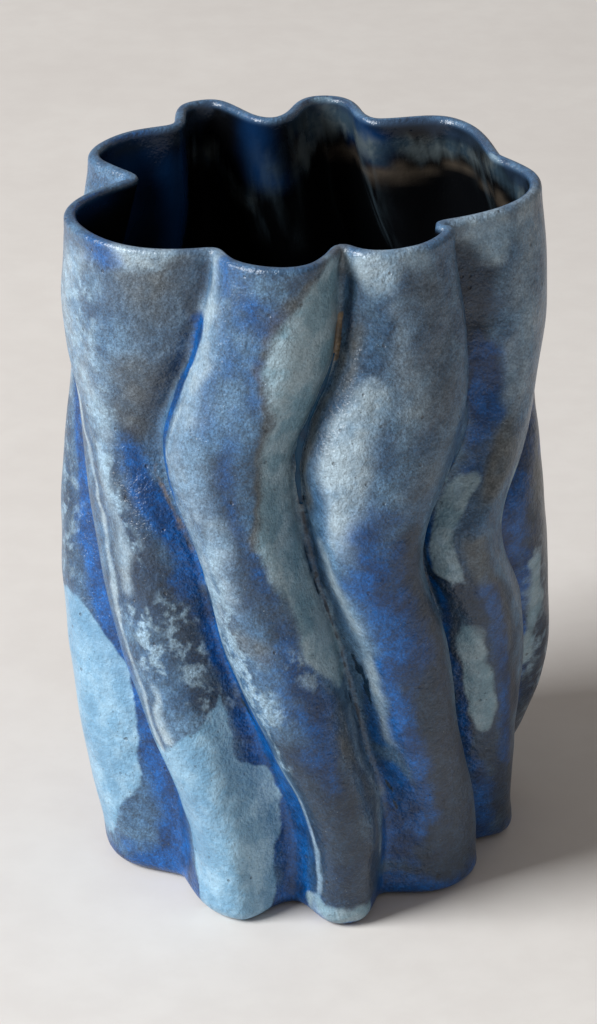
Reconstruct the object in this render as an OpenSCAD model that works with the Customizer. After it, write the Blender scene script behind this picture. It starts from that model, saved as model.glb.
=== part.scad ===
// Hand-built stoneware vase with eight deep folds that sway on their way down the wall.
// Three wall slabs stand round a floor slab and meet at the three sharpest folds.

/* [Vase] */
// Height from the foot to the lip
height = 230; // [200:5:280]
// Width across the fullest part of the body
body_width = 160; // [155:5:190]
// How deep the folds are pressed in, where 1 is the full depth
fold_depth = 1; // [0.7:0.05:1]
// How far the folds sway sideways, where 0 makes them straight
fold_sway = 1; // [0:0.1:1]

/* [Wall] */
// Thickness of the wall at mid height
wall_thickness = 4.6; // [3.6:0.2:5.2]
// Thickness of the lip, which is rounded over
lip_thickness = 3.8; // [2.4:0.2:3.8]
// Thickness of the wall where it stands on the ground
foot_thickness = 8; // [6.5:0.5:8]
// Radius of the rounding round the foot
foot_rounding = 5; // [2:0.5:5]

/* [Floor] */
// Thickness of the floor slab
floor_thickness = 7; // [6:0.5:10]
// Height and reach of the coil pressed into the inside corner
coil_size = 8; // [4:0.5:10]

/* [Glaze] */
// Depth of the glaze pooled on the floor
pool_depth = 1.2; // [0.6:0.2:2.4]
// Share of a crease that its bead of thick glaze fills
bead_fill = 0.8; // [0.4:0.1:0.9]

/* [Detail] */
// Columns of facets from the bottom of a fold to the crest beside it
side_steps = 6; // [4:1:7]
// Rings of facets up the wall
wall_rings = 21; // [14:1:24]

/* [Hidden] */

// Each fold, going round from the left: its angle, its distance from the axis, how sharp it is
// (0 is soft, 10 is a cut) and how far it curls over, at eight even heights from foot to lip.
// An angle of 0 is the front and 90 is the right.
folds = [
    // rear left
    [[-100, -104, -110, -116, -124, -131, -136, -139],
     [56, 58, 61, 63, 65, 66, 67, 69],
     [3, 4, 5, 6, 6, 5, 3, 2],
     [0, 0, 0, 0, 0, 0, 0, 0]],
    // left, a deep notch at the lip
    [[-49, -49, -56, -67, -77, -84, -91, -95],
     [56, 58, 63, 68, 70, 71, 66, 56],
     [2, 2, 3, 3, 3, 2, 4, 5],
     [0, 0, 0, 0, 0, 0, 0, 0]],
    // front left
    [[-6, -7, -17, -28, -35, -46, -35, -28],
     [52, 55, 58, 61, 63, 64, 63, 62],
     [2, 2, 4, 6, 6, 5, 6, 5],
     [0, 0, 0, 0, 0, 0, 0, 0]],
    // front, the sharpest crease
    [[27, 26, 17, 9, 0, -4, 7, 10],
     [53, 56, 58, 58, 57, 57, 56, 53],
     [2, 4, 6, 7, 9, 9, 9, 7],
     [0, 0, 0, 0, 0, 0, 0, 0]],
    // front right, curled over at the lip
    [[73, 61, 50, 44, 36, 50, 52, 50],
     [55, 57, 58, 58, 57, 62, 58, 52],
     [3, 6, 7, 8, 8, 2, 8, 9],
     [0, 0, 0, 0, 0, 0, 2, 5]],
    // right
    [[103, 92, 83, 74, 62, 85, 103, 113],
     [57, 62, 67, 68, 67, 67, 68, 65],
     [4, 5, 6, 6, 5, 3, 2, 1],
     [0, 0, 0, 0, 0, 0, 0, 0]],
    // rear right
    [[142, 138, 132, 128, 130, 140, 152, 160],
     [56, 58, 61, 63, 64, 64, 63, 62],
     [3, 4, 6, 7, 6, 5, 3, 2],
     [0, 0, 0, 0, 0, 0, 0, 0]],
    // rear
    [[200, 196, 190, 184, 180, 182, 188, 192],
     [56, 57, 60, 62, 63, 62, 61, 60],
     [3, 4, 6, 7, 7, 5, 3, 2],
     [0, 0, 0, 0, 0, 0, 0, 0]]
];

// The lobe after each fold: how far its crest stands from the axis, how many degrees the crest
// leans from the middle of the lobe, and how full it is (3 is narrow, 5 is broad).
lobes = [
    [[69, 75, 79, 81, 80, 78, 78, 76], [0, 0, 0, 2, 5, 7, 4, 0], [5, 5, 5, 5, 5, 5, 5, 5]],
    [[67, 70, 74, 76, 76, 76, 80, 80], [6, 3, 0, 2, 2, 0, -7, -1], [4, 4, 5, 5, 5, 5, 5, 5]],
    [[66, 70, 74, 75, 76, 75, 73, 71], [0, 0, 0, 0, 0, 0, 0, 0], [5, 5, 5, 5, 5, 5, 5, 5]],
    [[64, 69, 74, 75, 75, 73, 67, 62], [4, 2, 0, 0, 0, 0, 0, 0], [5, 5, 5, 5, 5, 5, 5, 5]],
    [[68, 69, 71, 73, 72, 73, 74, 71], [0, 0, 0, 0, 0, 0, 4, 12], [5, 5, 5, 5, 5, 5, 5, 4]],
    [[67, 75, 80, 78, 75, 70, 75, 75], [0, -9, -8, 0, 0, 8, 4, 5], [5, 5, 5, 5, 5, 5, 5, 3.5]],
    [[67, 71, 76, 79, 79, 79, 79, 80], [0, 0, 0, 0, 0, 0, 0, 0], [5, 5, 5, 5, 5, 5, 5, 5]],
    [[67, 71, 76, 79, 80, 82, 83, 84], [0, 0, 0, 0, 0, 0, 0, 0], [5, 5, 5, 5, 5, 5, 5, 5]]
];

STATIONS = 8;
FOLDS = 8;
PER_LOBE = 2 * side_steps;
COLUMNS = FOLDS * PER_LOBE;
width_scale = body_width / 160;

// Smooth value between the eight heights, with v from 0 at the foot to 1 at the lip
function station(row, i) =
    i < 0 ? 2 * row[0] - row[1] :
    i > STATIONS - 1 ? 2 * row[STATIONS - 1] - row[STATIONS - 2] :
    row[i];
function blend(a, b, c, d, f) =
    b + f / 2 * ((c - a) + f * ((2 * a - 5 * b + 4 * c - d) + f * (3 * b - a - 3 * c + d)));
function level(row, v, i) =
    let (f = v * (STATIONS - 1) - i)
    blend(station(row, i - 1), station(row, i), station(row, i + 1), station(row, i + 2), f);
function along(row, v) = level(row, v, min(floor(v * (STATIONS - 1)), STATIONS - 2));

function mean(list) = list * [for (i = list) 1] / len(list);
function out(a) = [sin(a), -cos(a)];
function around(a) = [cos(a), sin(a)];

// One fold at height v: angle, radius, sharpness as an angle, curl
function crest_mean(v) = mean([for (lobe = lobes) along(lobe[0], v)]);
function fold_at(f, v) = [
    mean(f[0]) + (along(f[0], v) - mean(f[0])) * fold_sway,
    crest_mean(v) + (along(f[1], v) - crest_mean(v)) * fold_depth,
    9 * fold_depth * min(max(along(f[2], v), 0), 10),
    10 * fold_depth * along(f[3], v)
];

// Half a lobe, as a curve with two handles
function curve(a, b, c, d, t) =
    pow(1 - t, 3) * a + 3 * pow(1 - t, 2) * t * b + 3 * (1 - t) * t * t * c + t * t * t * d;
function rise(from, crest, crest_angle, fullness, t) =
    let (
        a = from[1] * out(from[0]),
        reach = norm(crest - a),
        turn = from[2] - from[3],
        lift = cos(turn) * around(from[0]) + sin(turn) * out(from[0])
    )
    curve(a, a + 0.32 * reach * lift, crest - fullness * reach * around(crest_angle), crest, t);
function fall(crest, crest_angle, fullness, to, t) =
    let (
        d = to[1] * out(to[0]),
        reach = norm(crest - d),
        turn = to[2] + to[3],
        lift = sin(turn) * out(to[0]) - cos(turn) * around(to[0])
    )
    curve(crest, crest + fullness * reach * around(crest_angle), d + 0.32 * reach * lift, d, t);
function lobe_curve(from, to, lobe, v) =
    let (
        crest_angle = (from[0] + to[0]) / 2 + along(lobe[1], v),
        crest = along(lobe[0], v) * out(crest_angle),
        fullness = along(lobe[2], v) / 10
    )
    concat(
        [for (i = [0 : side_steps - 1]) rise(from, crest, crest_angle, fullness, i / side_steps)],
        [for (i = [0 : side_steps - 1]) fall(crest, crest_angle, fullness, to, i / side_steps)]
    );

// The whole outline at height v, as one closed ring of points
function next_fold(list, i) = i < FOLDS - 1 ? list[i + 1] : list[0] + [360, 0, 0, 0];
function outline(v) =
    let (list = [for (f = folds) fold_at(f, v)])
    width_scale * [for (i = [0 : FOLDS - 1]) each lobe_curve(list[i], next_fold(list, i), lobes[i], v)];

// A ring moved inward by a distance, square to its own edge and kept that far in round a corner
function edge_normal(a, b) = [a[1] - b[1], b[0] - a[0]] / norm(b - a);
function corner(before, after) = let (s = before + after) s / norm(s) * min(2 / norm(s), 1.6);
function inward(ring, i) = corner(
    edge_normal(ring[(i + COLUMNS - 1) % COLUMNS], ring[i]),
    edge_normal(ring[i], ring[(i + 1) % COLUMNS])
);
function inset(ring, distance) = [for (i = [0 : COLUMNS - 1]) ring[i] + distance * inward(ring, i)];

// Thickness of the wall at height z, and how far its edges are rounded away
lip_radius = lip_thickness / 2;
function ease(a, b, z) = let (t = min(max((z - a) / (b - a), 0), 1)) t * t * (3 - 2 * t);
function thickness(z) =
    foot_thickness + (wall_thickness - foot_thickness) * ease(floor_thickness, floor_thickness + 28, z)
    + (lip_thickness - wall_thickness) * ease(height - 26, height - lip_radius, z);
function quarter(r, z) = z >= r ? 0 : r - sqrt(r * r - (r - z) * (r - z));
function outer_inset(z) = quarter(foot_rounding, z) + 0.8 * quarter(lip_radius, height - z);
function inner_inset(z) = thickness(z) - 0.8 * quarter(lip_radius, height - z);

// Heights of the rings, from the foot to the lip. Inside, the wall is upright as far as the top of the
// floor slab, so that the slab fits it face to face.
coil_top = floor_thickness + coil_size;
wall_top = height - lip_radius;
heights = concat(
    [0, foot_rounding / 5, foot_rounding / 2, foot_rounding],
    [floor_thickness, floor_thickness + coil_size / 2, coil_top],
    [for (i = [1 : wall_rings]) coil_top + (wall_top - coil_top) * i / wall_rings],
    [height - lip_radius / 3, height]
);
ROWS = len(heights);
function lift(ring, z) = [for (p = ring) [p[0], p[1], z]];
outer_rings = [for (z = heights) lift(inset(outline(z / height), outer_inset(z)), z)];
function inner_level(z) = max(z - floor_thickness * (1 - ease(floor_thickness, 6 * floor_thickness, z)), 0);
inner_rings = [for (z = heights) lift(inset(outline(inner_level(z) / height), inner_inset(z)), z)];

// A run of the wall between two columns: outer face up, over the lip, inner face down
LOOP = 2 * ROWS;
function profile(c) = concat(
    [for (r = [0 : ROWS - 1]) outer_rings[r][c % COLUMNS]],
    [for (r = [ROWS - 1 : -1 : 0]) inner_rings[r][c % COLUMNS]]
);
function strip(a, b, m, n) = [[a + m, b + m, b + n], [a + m, b + n, a + n]];
function end_cap(first) = [
    for (r = [0 : ROWS - 2])
    each [
        [first + r, first + r + 1, first + LOOP - 2 - r],
        [first + r, first + LOOP - 2 - r, first + LOOP - 1 - r]
    ]
];
function turned(faces) = [for (f = faces) [f[2], f[1], f[0]]];

module wall_run(from_fold, to_fold) {
    start = from_fold * PER_LOBE;
    runs = (to_fold - from_fold) * PER_LOBE;
    sides = [
        for (c = [0 : runs - 1])
        for (m = [0 : LOOP - 1])
        each strip(c * LOOP, (c + 1) * LOOP, m, (m + 1) % LOOP)
    ];
    polyhedron(
        points = [for (c = [0 : runs]) each profile(start + c)],
        faces = concat(turned(sides), turned(end_cap(0)), end_cap(runs * LOOP)),
        convexity = 12
    );
}

module floor_slab() {
    color([0.72, 0.66, 0.58])
        linear_extrude(floor_thickness)
            polygon([for (p = inner_rings[0]) [p[0], p[1]]]);
}

module wall_slab_left() {
    color([0.30, 0.42, 0.58])
        wall_run(1, 3);
}

module wall_slab_front() {
    color([0.40, 0.50, 0.60])
        wall_run(3, 4);
}

module wall_slab_back() {
    color([0.26, 0.34, 0.46])
        wall_run(4, 9);
}

// A hollow fillet all round the inside corner, with its back on the wall and its underside on the floor
FLOOR_ROW = 4;
function toward_axis(ring, distance) = [for (p = ring) let (q = [p[0], p[1]]) q - distance * q / norm(q)];
coil_toe = toward_axis(inner_rings[FLOOR_ROW], coil_size);
coil_belly = toward_axis(inner_rings[FLOOR_ROW], coil_size * 0.35);
coil_rings = [
    inner_rings[FLOOR_ROW],
    inner_rings[FLOOR_ROW + 1],
    inner_rings[FLOOR_ROW + 2],
    lift(coil_belly, floor_thickness + coil_size * 0.35),
    lift(coil_toe, floor_thickness)
];

module corner_coil() {
    sides = [
        for (m = [0 : 4])
        for (c = [0 : COLUMNS - 1])
        each strip(m * COLUMNS, (m + 1) % 5 * COLUMNS, c, (c + 1) % COLUMNS)
    ];
    color([0.66, 0.60, 0.52])
        polyhedron(points = [for (ring = coil_rings) each ring], faces = sides, convexity = 12);
}

module glaze_pool() {
    color([0.05, 0.08, 0.12])
        translate([0, 0, floor_thickness])
            linear_extrude(pool_depth)
                polygon(coil_toe);
}

// A bead of thick glaze run into the bottom of a fold, tapered at both ends
function bead_rows(low, high) = [for (r = [0 : ROWS - 1]) if (heights[r] >= low && heights[r] <= high) r];
function bead_width(i, n) = bead_fill * (0.15 + 0.85 * sin(180 * i / (n - 1)));
function bead_ring(r, c, share) =
    let (
        base = outer_rings[r][c],
        left = base + share * (outer_rings[r][c - 1] - base),
        right = base + share * (outer_rings[r][c + 1] - base),
        face = (left + right) / 2
    )
    [base, left, face + 0.3 * (face - base), right];

module crease_bead(fold, low, high) {
    rows = bead_rows(low, high);
    last = len(rows) - 1;
    rings = [for (i = [0 : last]) bead_ring(rows[i], fold * PER_LOBE, bead_width(i, last + 1))];
    sides = [
        for (i = [0 : last - 1])
        for (k = [0 : 3])
        each strip(4 * i, 4 * i + 4, k, (k + 1) % 4)
    ];
    ends = [
        [0, 1, 2],
        [0, 2, 3],
        [4 * last + 2, 4 * last + 1, 4 * last],
        [4 * last + 3, 4 * last + 2, 4 * last]
    ];
    polyhedron(points = [for (ring = rings) each ring], faces = concat(sides, ends), convexity = 4);
}

module crease_glaze_front() {
    color([0.05, 0.30, 0.42])
        crease_bead(3, 0.60 * height, 0.90 * height);
}

module crease_glaze_right() {
    color([0.05, 0.25, 0.40])
        crease_bead(4, 0.80 * height, 0.985 * height);
}

floor_slab();
wall_slab_left();
wall_slab_front();
wall_slab_back();
corner_coil();
glaze_pool();
crease_glaze_front();
crease_glaze_right();
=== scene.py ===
import math

import bmesh
import bpy
import numpy as np
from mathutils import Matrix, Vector


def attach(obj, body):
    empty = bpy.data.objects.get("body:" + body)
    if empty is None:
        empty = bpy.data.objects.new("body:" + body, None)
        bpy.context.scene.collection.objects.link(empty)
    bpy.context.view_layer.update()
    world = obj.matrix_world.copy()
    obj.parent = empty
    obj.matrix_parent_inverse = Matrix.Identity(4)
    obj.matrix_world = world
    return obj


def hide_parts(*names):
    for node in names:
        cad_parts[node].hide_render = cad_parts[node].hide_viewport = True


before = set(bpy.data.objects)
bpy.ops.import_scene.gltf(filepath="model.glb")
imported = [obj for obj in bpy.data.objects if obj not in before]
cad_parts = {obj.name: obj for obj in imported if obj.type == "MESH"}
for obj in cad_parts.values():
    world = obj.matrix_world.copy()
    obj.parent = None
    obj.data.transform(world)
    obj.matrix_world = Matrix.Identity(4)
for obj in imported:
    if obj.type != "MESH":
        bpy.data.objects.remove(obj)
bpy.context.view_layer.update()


# ---------------------------------------------------------------------------------------------
# Floor slab. A flat slab of buff stoneware clay, cut to the inside of the wall, left bare below
# and fired to a sandy biscuit. The walls stand round its edge.
# ---------------------------------------------------------------------------------------------
def shade(red, green, blue):
    """A colour given as it looks on a swatch, from 0 to 255, as the light it sends back."""
    swatch = [value / 255 for value in (red, green, blue)]
    return tuple(v / 12.92 if v <= 0.04045 else ((v + 0.055) / 1.055) ** 2.4 for v in swatch) + (1.0,)


def put(tree, kind, inputs=(), **settings):
    """Adds a node, sets its properties, and links or sets the inputs named or numbered."""
    made = tree.nodes.new(kind)
    for name, value in settings.items():
        setattr(made, name, value)
    for name, value in dict(inputs).items():
        if isinstance(value, bpy.types.NodeSocket):
            tree.links.new(value, made.inputs[name])
        else:
            made.inputs[name].default_value = value
    return made


def maths(tree, operation, a, b=0.0, clamp=False):
    """One step of arithmetic on two values, by the name of the operation."""
    return put(tree, "ShaderNodeMath", {0: a, 1: b}, operation=operation, use_clamp=clamp).outputs[0]


def times(tree, a, b):
    return maths(tree, "MULTIPLY", a, b)


def blend(tree, share, a, b):
    """Colour b laid over colour a, by a share from 0 to 1."""
    inputs = {0: share, 6: a, 7: b}
    return put(tree, "ShaderNodeMix", inputs, data_type="RGBA", clamp_factor=True).outputs[2]


def spread(tree, value, low, high, to_low=0.0, to_high=1.0):
    """Eases a value from one range to another, held at both ends."""
    inputs = {0: value, 1: low, 2: high, 3: to_low, 4: to_high}
    return put(tree, "ShaderNodeMapRange", inputs, interpolation_type="SMOOTHSTEP").outputs[0]


def cloud(tree, place, scale, detail=2.0, roughness=0.5):
    """Smooth noise from 0 to 1; a larger scale gives finer swells."""
    inputs = {"Vector": place, "Scale": scale, "Detail": detail, "Roughness": roughness}
    return put(tree, "ShaderNodeTexNoise", inputs).outputs[0]


def new_group(name, inputs, outputs):
    """A node group with the named sockets, and its two ends."""
    tree = bpy.data.node_groups.new(name, "ShaderNodeTree")
    for label, kind, value in inputs:
        socket = tree.interface.new_socket(label, in_out="INPUT", socket_type=kind)
        if value is not None:
            socket.default_value = value
    for label, kind in outputs:
        tree.interface.new_socket(label, in_out="OUTPUT", socket_type=kind)
    return tree, tree.nodes.new("NodeGroupInput"), tree.nodes.new("NodeGroupOutput")


def use(tree, group, inputs=()):
    """Adds a node group and gives its outputs."""
    return put(tree, "ShaderNodeGroup", inputs, node_tree=group).outputs


# Specks of iron and grog, as small ragged dots that come and go over the surface
specks, ends_in, ends_out = new_group(
    "clay specks",
    [
        ("Place", "NodeSocketVector", None),
        ("Size", "NodeSocketFloat", 1.0),
        ("Amount", "NodeSocketFloat", 0.5),
    ],
    [("Mask", "NodeSocketFloat")],
)
density = maths(specks, "DIVIDE", 1.0, ends_in.outputs["Size"])
dots = put(
    specks,
    "ShaderNodeTexVoronoi",
    {"Vector": ends_in.outputs["Place"], "Scale": times(specks, density, 620.0)},
)
lot = cloud(specks, ends_in.outputs["Place"], times(specks, density, 260.0), 2.0)
reach = times(specks, maths(specks, "SUBTRACT", lot, 0.32), ends_in.outputs["Amount"])
mask = maths(specks, "DIVIDE", maths(specks, "SUBTRACT", reach, dots.outputs["Distance"]), 0.12, clamp=True)
specks.links.new(mask, ends_out.inputs["Mask"])


def new_material(name):
    """A material with one shader, and the place of each point on the object in metres."""
    material = bpy.data.materials.new(name)
    material.use_nodes = True
    tree = material.node_tree
    tree.nodes.clear()
    shader = tree.nodes.new("ShaderNodeBsdfPrincipled")
    tree.links.new(shader.outputs[0], tree.nodes.new("ShaderNodeOutputMaterial").inputs[0])
    place = tree.nodes.new("ShaderNodeTexCoord").outputs["Object"]
    return material, tree, shader, place


def dent_by(tree, shader, height, strength, depth):
    """Lets a height shade the surface as if it rose and fell by the depth in metres."""
    bump = put(tree, "ShaderNodeBump", {"Height": height, "Strength": strength, "Distance": depth})
    tree.links.new(bump.outputs[0], shader.inputs["Normal"])


biscuit, tree, shader, place = new_material("bare buff stoneware")
sand = cloud(tree, place, 900.0, 3.0, 0.6)
drift = cloud(tree, place, 45.0, 2.0)
clay = blend(tree, spread(tree, drift, 0.35, 0.65), shade(176, 152, 124), shade(196, 176, 150))
iron = use(tree, specks, {"Place": place, "Size": 1.2, "Amount": 0.9})["Mask"]
clay = blend(tree, iron, clay, shade(112, 84, 62))
clay = blend(tree, spread(tree, sand, 0.3, 0.7, 0.0, 0.3), clay, shade(150, 126, 100))
tree.links.new(clay, shader.inputs["Base Color"])
tree.links.new(spread(tree, sand, 0.2, 0.8, 0.82, 0.95), shader.inputs["Roughness"])
dent_by(tree, shader, sand, 0.5, 0.0004)

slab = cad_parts["floor_slab"]
slab.data.materials.clear()
slab.data.materials.append(biscuit)


# ---------------------------------------------------------------------------------------------
# Left wall slab. A soft slab of stoneware stood on the edge of the floor, pressed from outside
# into folds that sway on their way down, and luted to its neighbours at the bottom of a fold.
# It is dipped in layered blue glazes and lined with a black one.
# ---------------------------------------------------------------------------------------------
HEIGHT = 230.0
# Each fold: angle from the front, distance from the axis, sharpness and curl, from foot to lip
folds = [
    (
        [-100, -104, -110, -116, -124, -131, -136, -139],
        [56, 58, 61, 63, 65, 66, 67, 69],
        [3, 4, 5, 6, 6, 5, 3, 2],
        [0] * 8,
    ),
    (
        [-49, -49, -56, -67, -77, -84, -91, -95],
        [56, 58, 63, 68, 70, 71, 66, 56],
        [2, 2, 3, 3, 3, 2, 4, 5],
        [0] * 8,
    ),
    (
        [-6, -7, -17, -28, -35, -46, -35, -28],
        [52, 55, 58, 61, 63, 64, 63, 62],
        [2, 2, 4, 6, 6, 5, 6, 5],
        [0] * 8,
    ),
    (
        [27, 26, 17, 9, 0, -4, 7, 10],
        [53, 56, 58, 58, 57, 57, 56, 53],
        [2, 4, 6, 7, 9, 9, 9, 7],
        [0] * 8,
    ),
    (
        [73, 61, 50, 44, 36, 50, 52, 50],
        [55, 57, 58, 58, 57, 62, 58, 52],
        [3, 6, 7, 8, 8, 2, 8, 9],
        [0, 0, 0, 0, 0, 0, 2, 5],
    ),
    (
        [103, 92, 83, 74, 62, 85, 103, 113],
        [57, 62, 67, 68, 67, 67, 68, 65],
        [4, 5, 6, 6, 5, 3, 2, 1],
        [0] * 8,
    ),
    (
        [142, 138, 132, 128, 130, 140, 152, 160],
        [56, 58, 61, 63, 64, 64, 63, 62],
        [3, 4, 6, 7, 6, 5, 3, 2],
        [0] * 8,
    ),
    (
        [200, 196, 190, 184, 180, 182, 188, 192],
        [56, 57, 60, 62, 63, 62, 61, 60],
        [3, 4, 6, 7, 7, 5, 3, 2],
        [0] * 8,
    ),
]
# The lobe after each fold: distance of its crest from the axis, lean of the crest, fullness
lobes = [
    ([69, 75, 79, 81, 80, 78, 78, 76], [0, 0, 0, 2, 5, 7, 4, 0], [5] * 8),
    ([67, 70, 74, 76, 76, 76, 80, 80], [6, 3, 0, 2, 2, 0, -7, -1], [4, 4, 5, 5, 5, 5, 5, 5]),
    ([66, 70, 74, 75, 76, 75, 73, 71], [0] * 8, [5] * 8),
    ([64, 69, 74, 75, 75, 73, 67, 62], [4, 2, 0, 0, 0, 0, 0, 0], [5] * 8),
    ([68, 69, 71, 73, 72, 73, 74, 71], [0, 0, 0, 0, 0, 0, 4, 12], [5, 5, 5, 5, 5, 5, 5, 4]),
    ([67, 75, 80, 78, 75, 70, 75, 75], [0, -9, -8, 0, 0, 8, 4, 5], [5, 5, 5, 5, 5, 5, 5, 3.5]),
    ([67, 71, 76, 79, 79, 79, 79, 80], [0] * 8, [5] * 8),
    ([67, 71, 76, 79, 80, 82, 83, 84], [0] * 8, [5] * 8),
]


def along(row, z):
    """A row of eight values from foot to lip, read smoothly at the heights z."""
    row = [2 * row[0] - row[1], *row, 2 * row[-1] - row[-2]]
    row = np.array(row, float)
    step = np.clip(z / HEIGHT, 0, 1) * 7
    i = np.minimum(step.astype(int), 6)
    f = step - i
    a, b, c, d = row[i], row[i + 1], row[i + 2], row[i + 3]
    return b + f / 2 * ((c - a) + f * ((2 * a - 5 * b + 4 * c - d) + f * (3 * b - a - 3 * c + d)))


def outward(angle):
    """The direction away from the axis at an angle from the front."""
    return np.stack([np.sin(angle), -np.cos(angle)], -1)


def sideways(angle):
    """The direction round the vase at an angle from the front."""
    return np.stack([np.cos(angle), np.sin(angle)], -1)


SHARPNESS_DEGREES, CURL_DEGREES = 9, 10  # turn of the wall out of a fold, for each unit in the table
RISE = 0.32  # share of the way to the crest over which the wall keeps that direction


def half_lobe(i, z, share, rising):
    """Points from the fold before (rising) or after lobe i to its crest, for each height and share."""
    fold = folds[i] if rising else folds[(i + 1) % 8]
    first = along(folds[i][0], z)
    last = along(folds[(i + 1) % 8][0], z) + (360 if i == 7 else 0)
    angle = np.radians(first if rising else last)
    side = 1 if rising else -1
    sharpness = SHARPNESS_DEGREES * np.clip(along(fold[2], z), 0, 10)
    turn = np.radians(sharpness - side * CURL_DEGREES * along(fold[3], z))
    lift = side * np.cos(turn)[:, None] * sideways(angle) + np.sin(turn)[:, None] * outward(angle)
    bottom = along(fold[1], z)[:, None] * outward(angle)
    crest_angle = np.radians((first + last) / 2 + along(lobes[i][1], z))
    crest = along(lobes[i][0], z)[:, None] * outward(crest_angle)
    gap = np.linalg.norm(crest - bottom, axis=-1)[:, None]
    near = bottom + RISE * gap * lift
    far = crest - side * along(lobes[i][2], z)[:, None] / 10 * gap * sideways(crest_angle)
    t = share[None, :, None]
    p, q, r, s = (m[:, None, :] for m in (bottom, near, far, crest))
    return (1 - t) ** 3 * p + 3 * (1 - t) ** 2 * t * q + 3 * (1 - t) * t * t * r + t**3 * s


# Columns round the vase, closer together on the lobes that face the front
COLUMNS = [20, 36, 36, 36, 34, 34, 20, 20]
LOBE_WIDTH = 62.0
place_round = np.concatenate(
    [i + (np.arange(n) + n * h) / (2 * n) for i, n in enumerate(COLUMNS) for h in (0, 1)]
)

# Hollows and ridges that the fingers left: path as (place round, height), width, depth inward
finger_marks = [
    ([(1.45, 130), (1.6, 100), (1.7, 84)], 12, 0.8),
    ([(1.93, 192), (1.94, 182)], 8, -0.9),
    ([(2.62, 205), (2.65, 185), (2.68, 148), (2.7, 110)], 7, -0.7),
    ([(2.82, 200), (2.84, 160), (2.86, 120)], 12, 0.9),
    ([(3.2, 195), (3.25, 160), (3.28, 120), (3.3, 70)], 8, -0.5),
    ([(3.12, 150), (3.13, 110), (3.12, 70)], 9, 0.9),
    ([(4.1, 196), (4.12, 176)], 13, 2.2),
    ([(4.04, 222), (4.05, 200)], 7, 1.0),
    ([(4.02, 168), (4.3, 160)], 11, -0.8),
    ([(2.3, 120), (2.34, 96)], 12, 0.9),
    ([(2.28, 196), (2.34, 184)], 12, -0.6),
    ([(3.3, 196), (3.34, 172)], 12, -0.6),
    ([(3.4, 150), (3.42, 120)], 12, 0.9),
    ([(4.2, 145), (4.3, 118)], 14, 1.0),
    ([(4.45, 150), (4.42, 110), (4.45, 60)], 8, -0.7),
    ([(4.7, 140), (4.75, 100)], 12, 0.9),
]


def path_distance(u, z, path):
    """Distance over the wall, in mm, from each place to a path of (place round, height) points."""
    start = path[0][0]
    x = ((u - start + 4) % 8 - 4) * LOBE_WIDTH
    nearest = np.full(np.broadcast(x, z).shape, 1e9)
    corners = [((p[0] - start) * LOBE_WIDTH, p[1]) for p in path]
    for (ax, az), (bx, bz) in zip(corners, corners[1:]):
        dx, dz = bx - ax, bz - az
        t = np.clip(((x - ax) * dx + (z - az) * dz) / (dx * dx + dz * dz), 0, 1)
        nearest = np.minimum(nearest, np.hypot(x - ax - t * dx, z - az - t * dz))
    return nearest


# Slow and quick waves in the slab: count round the vase, lean with height, start and strength
rng = np.random.default_rng(7)
waves = [
    (rng.integers(*count), rng.uniform(-lean, lean), rng.uniform(0, 6.28), rng.uniform(*strength))
    for waves_made, count, lean, strength in (
        (10, (1, 9), 0.09, (0.5, 1.0)), (14, (12, 40), 0.35, (0.2, 0.4)),
    )
    for _ in range(waves_made)
]
WAVE_DEPTH = 0.16  # mm for a wave of full strength
KEEP_IN = 0.9  # mm that the whole skin lies in, so that ridges stay inside the size of the vase
DENT_SHARE = 0.9  # of all dents together


def ring(z):
    """The outline at each height with its dents, softened a little in the folds, and the way inward."""
    points = np.concatenate(
        [
            half_lobe(i, z, np.arange(n) / n if rising else 1 - np.arange(n) / n, rising)
            for i, n in enumerate(COLUMNS)
            for rising in (True, False)
        ],
        axis=1,
    )
    for _ in range(2):
        points = (np.roll(points, 1, 1) + 2 * points + np.roll(points, -1, 1)) / 4
    run = np.roll(points, -1, 1) - np.roll(points, 1, 1)
    inward = np.stack([-run[..., 1], run[..., 0]], -1)
    inward /= np.linalg.norm(inward, axis=-1, keepdims=True)
    u, level = np.broadcast_arrays(place_round[None, :], z[:, None])
    dent = sum(a * np.sin(k * u * math.tau / 8 + m * level + p) for k, m, p, a in waves) * WAVE_DEPTH
    dent = dent + KEEP_IN
    for path, width, depth in finger_marks:
        dent = dent + depth * np.exp(-((path_distance(u, level, path) / width * 1.6) ** 2))
    # Dents fade out towards the foot and the lip
    hold = np.clip(level / 12, 0, 1) * np.clip((HEIGHT - level) / 6, 0.25, 1)
    points = points + inward * (dent * hold)[..., None] * DENT_SHARE
    return points, inward


def ease(low, high, z):
    """Goes smoothly from 0 at low to 1 at high."""
    t = np.clip((z - low) / (high - low), 0, 1)
    return t * t * (3 - 2 * t)


FOOT_ROUNDING, FLOOR = 5.0, 7.0
FOOT_THICKNESS, WALL_THICKNESS, LIP_THICKNESS = 8.0, 4.6, 3.8
FOOT_TAPER, LIP_TAPER = 28.0, 26.0  # heights over which the wall thins above the floor and below the lip
LIP_RADIUS = LIP_THICKNESS / 2
turn = np.radians(np.linspace(90, 0, 7))
foot_z, foot_in = FOOT_ROUNDING * (1 - np.sin(turn)), FOOT_ROUNDING * (1 - np.cos(turn))
turn = np.radians(np.linspace(0, 90, 6))
lip_z, lip_in = HEIGHT - LIP_RADIUS + LIP_RADIUS * np.sin(turn), 0.8 * LIP_RADIUS * (1 - np.cos(turn))
OUTER_ROWS, INNER_ROWS = 212, 88
wall_z = np.linspace(FOOT_ROUNDING, HEIGHT - LIP_RADIUS, OUTER_ROWS)[1:-1]
outer_z = np.concatenate([foot_z, wall_z, lip_z])
outer_in = np.concatenate([foot_in, 0 * wall_z, lip_in])
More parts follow.
